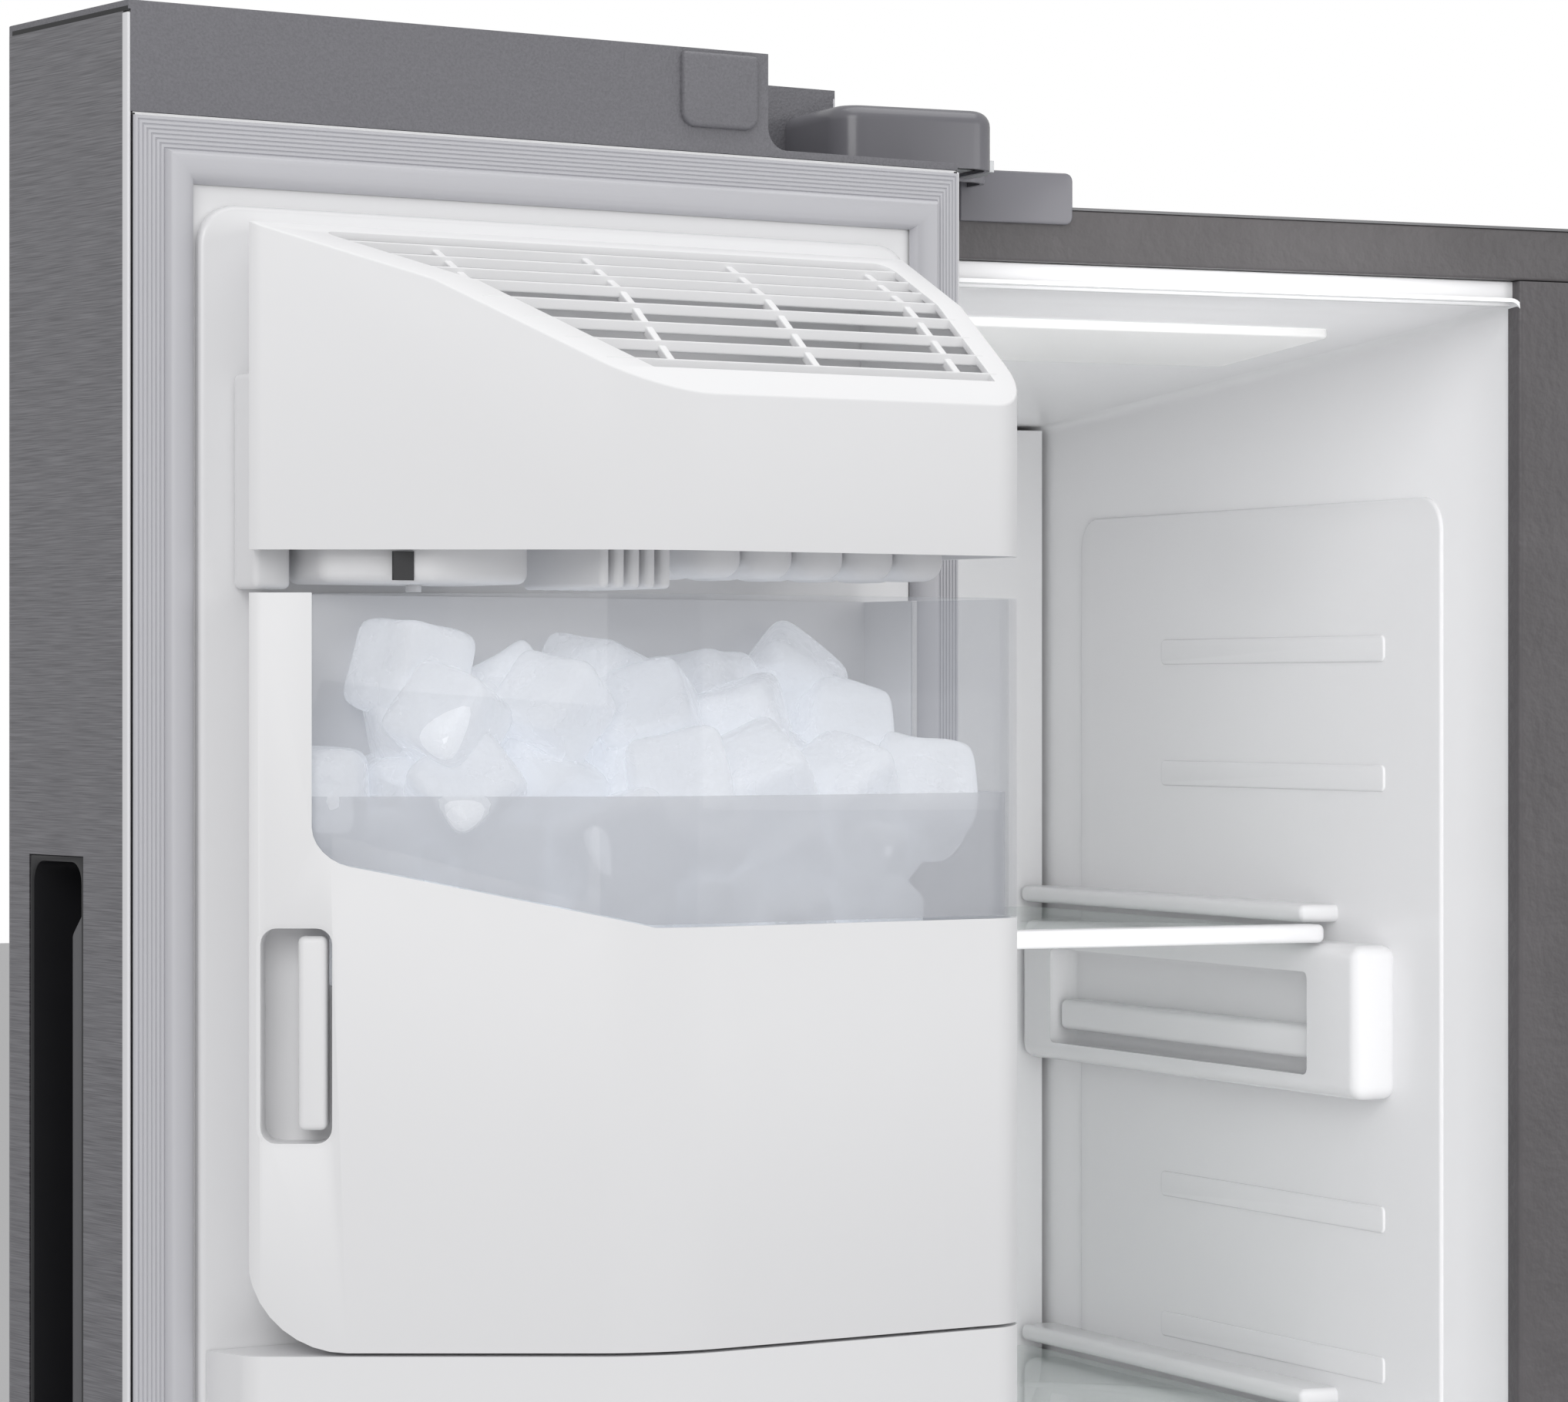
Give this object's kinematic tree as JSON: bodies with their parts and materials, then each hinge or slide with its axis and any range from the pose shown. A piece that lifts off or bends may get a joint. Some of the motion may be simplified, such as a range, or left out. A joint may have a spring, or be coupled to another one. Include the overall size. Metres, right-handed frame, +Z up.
{
  "type": "side by side refrigerator",
  "caption": "Tall two-door refrigerator-freezer with both doors swung open, door-mounted ice maker and pull-out ice bucket, shelves, drawers and door bins.",
  "frame": {"origin": "on the floor, in the middle of the cabinet's width and in the plane of its front face, with both doors open on their stops", "axes": "+X to the right seen from the front, +Y towards the back, +Z up"},
  "size_m": [1.7813, 1.0122, 1.78],
  "materials": {
    "brushed_steel": "horizontally brushed, satin",
    "case_paint": "fine orange peel, satin",
    "rail_paint": "fine orange peel, satin",
    "galvanised": "plain zinc coating",
    "black_steel": "semi-gloss black",
    "hinge_steel": "zinc plated, satin",
    "coil_metal": "mill finish",
    "foam": "rigid foam",
    "liner_white": "glossy vacuum-formed",
    "white_plastic": "satin",
    "cap_grey": "fine grain",
    "dark_plastic": "satin",
    "gasket_grey": "soft satin",
    "clear_plastic": "clear, slightly smoked",
    "shelf_glass": "clear tempered",
    "lens": "frosted diffuser",
    "black_glass": "gloss",
    "rubber": "matte"
  },
  "bodies": {
    "cabinet": {"outer_case": "case_paint", "front_rails": "rail_paint", "centre_mullion": "rail_paint", "base_tray": "galvanised", "back_panel": "galvanised", "freezer_liner": "liner_white", "fridge_liner": "liner_white", "cabinet_foam": "foam", "toe_grille": "cap_grey", "levelling_feet": "rubber", "hinges": "hinge_steel", "hinge_covers": "cap_grey", "compressor": "black_steel", "condenser": "coil_metal", "fan_brackets": "white_plastic", "evaporator": "coil_metal", "machine_cover": "galvanised", "duct_covers": "white_plastic", "freezer_shelf_glass": "shelf_glass", "freezer_shelf_frames": "white_plastic", "shelf_supports": "liner_white", "fridge_shelf_glass": "shelf_glass", "fridge_shelf_frames": "white_plastic", "interior_lights": "lens"},
    "freezer_door": {"freezer_door_skin": "brushed_steel", "freezer_door_foam": "foam", "freezer_door_top_cap": "cap_grey", "freezer_door_bottom_cap": "cap_grey", "freezer_door_liner": "liner_white", "freezer_door_gasket": "gasket_grey", "freezer_door_handle": "dark_plastic", "icemaker_cover": "white_plastic", "icemaker_motor_box": "white_plastic", "ice_chute_cover": "white_plastic", "freezer_door_bins": "clear_plastic", "dispenser_housing": "dark_plastic", "dispenser_panel": "black_glass"},
    "fridge_door": {"fridge_door_skin": "brushed_steel", "fridge_door_foam": "foam", "fridge_door_caps": "cap_grey", "fridge_door_liner": "liner_white", "fridge_door_gasket": "gasket_grey", "fridge_door_handle": "dark_plastic", "fridge_door_bins": "clear_plastic"},
    "ice_bucket": {"ice_bucket": "white_plastic", "bucket_window": "clear_plastic"},
    "bucket_auger": {"bucket_auger": "coil_metal"},
    "ice_tray": {"ice_tray": "white_plastic"},
    "ice_level_arm": {"ice_level_arm": "white_plastic"},
    "ice_test_button": {"ice_test_button": "white_plastic"},
    "dispenser_paddle": {"dispenser_paddle": "dark_plastic"},
    "drip_tray": {"drip_tray": "dark_plastic"},
    "freezer_drawer_upper": {"freezer_drawer_upper": "clear_plastic"},
    "freezer_drawer_lower": {"freezer_drawer_lower": "clear_plastic"},
    "crisper_upper": {"crisper_upper": "clear_plastic"},
    "crisper_lower": {"crisper_lower": "clear_plastic"},
    "condenser_fan": {"condenser_fan": "dark_plastic"},
    "evaporator_fan": {"evaporator_fan": "white_plastic"},
    "rear_rollers": {"rear_rollers": "rubber"}
  },
  "joints": [
    {"name": "freezer_door_hinge", "type": "hinge", "parent": "cabinet", "child": "freezer_door", "pos_m": [-0.4465, -0.058, 1], "axis": [0, 0, -1], "range_deg": [-169.3, 0]},
    {"name": "fridge_door_hinge", "type": "hinge", "parent": "cabinet", "child": "fridge_door", "pos_m": [0.4465, -0.058, 1], "axis": [0, 0, 1], "range_deg": [-169.3, 0]},
    {"name": "ice_bucket_slide", "type": "slide", "parent": "freezer_door", "child": "ice_bucket", "axis": [0.1857, -0.9826, 0], "range_m": [0, 0.16]},
    {"name": "auger_spin", "type": "hinge", "parent": "ice_bucket", "child": "bucket_auger", "pos_m": [-0.58882, -0.19887, 1.3], "axis": [0, 0, 1], "continuous": true},
    {"name": "ice_tray_twist", "type": "hinge", "parent": "freezer_door", "child": "ice_tray", "pos_m": [-0.58882, -0.19887, 1.582], "axis": [-0.9826, -0.1857, 0], "range_deg": [0, 150]},
    {"name": "ice_level_swing", "type": "hinge", "parent": "freezer_door", "child": "ice_level_arm", "pos_m": [-0.58882, -0.19887, 1.606], "axis": [-0.9826, -0.1857, 0], "range_deg": [0, 14]},
    {"name": "test_button_press", "type": "slide", "parent": "freezer_door", "child": "ice_test_button", "axis": [0, 0, 1], "range_m": [0, 0.002], "stiffness_N_per_m": 300, "springref_m": -0.001},
    {"name": "dispenser_paddle_push", "type": "hinge", "parent": "freezer_door", "child": "dispenser_paddle", "pos_m": [-0.63285, -0.07896, 1.213], "axis": [-0.9826, -0.1857, 0], "range_deg": [0, 8], "stiffness_Nm_per_rad": 1.2, "springref_deg": -2.86},
    {"name": "drip_tray_slide", "type": "slide", "parent": "freezer_door", "child": "drip_tray", "axis": [-0.1857, 0.9826, 0], "range_m": [0, 0.05]},
    {"name": "freezer_drawer_upper_slide", "type": "slide", "parent": "cabinet", "child": "freezer_drawer_upper", "axis": [0, -1, 0], "range_m": [0, 0.27]},
    {"name": "freezer_drawer_lower_slide", "type": "slide", "parent": "cabinet", "child": "freezer_drawer_lower", "axis": [0, -1, 0], "range_m": [0, 0.27]},
    {"name": "crisper_upper_slide", "type": "slide", "parent": "cabinet", "child": "crisper_upper", "axis": [0, -1, 0], "range_m": [0, 0.36]},
    {"name": "crisper_lower_slide", "type": "slide", "parent": "cabinet", "child": "crisper_lower", "axis": [0, -1, 0], "range_m": [0, 0.28]},
    {"name": "condenser_fan_spin", "type": "hinge", "parent": "cabinet", "child": "condenser_fan", "pos_m": [-0.03, 0.612, 0.14], "axis": [0, 1, 0], "continuous": true},
    {"name": "evaporator_fan_spin", "type": "hinge", "parent": "cabinet", "child": "evaporator_fan", "pos_m": [-0.2485, 0.52, 0.76], "axis": [0, 1, 0], "continuous": true},
    {"name": "rear_roller_spin", "type": "hinge", "parent": "cabinet", "child": "rear_rollers", "pos_m": [0, 0.65, 0.014], "axis": [1, 0, 0], "continuous": true}
  ]
}
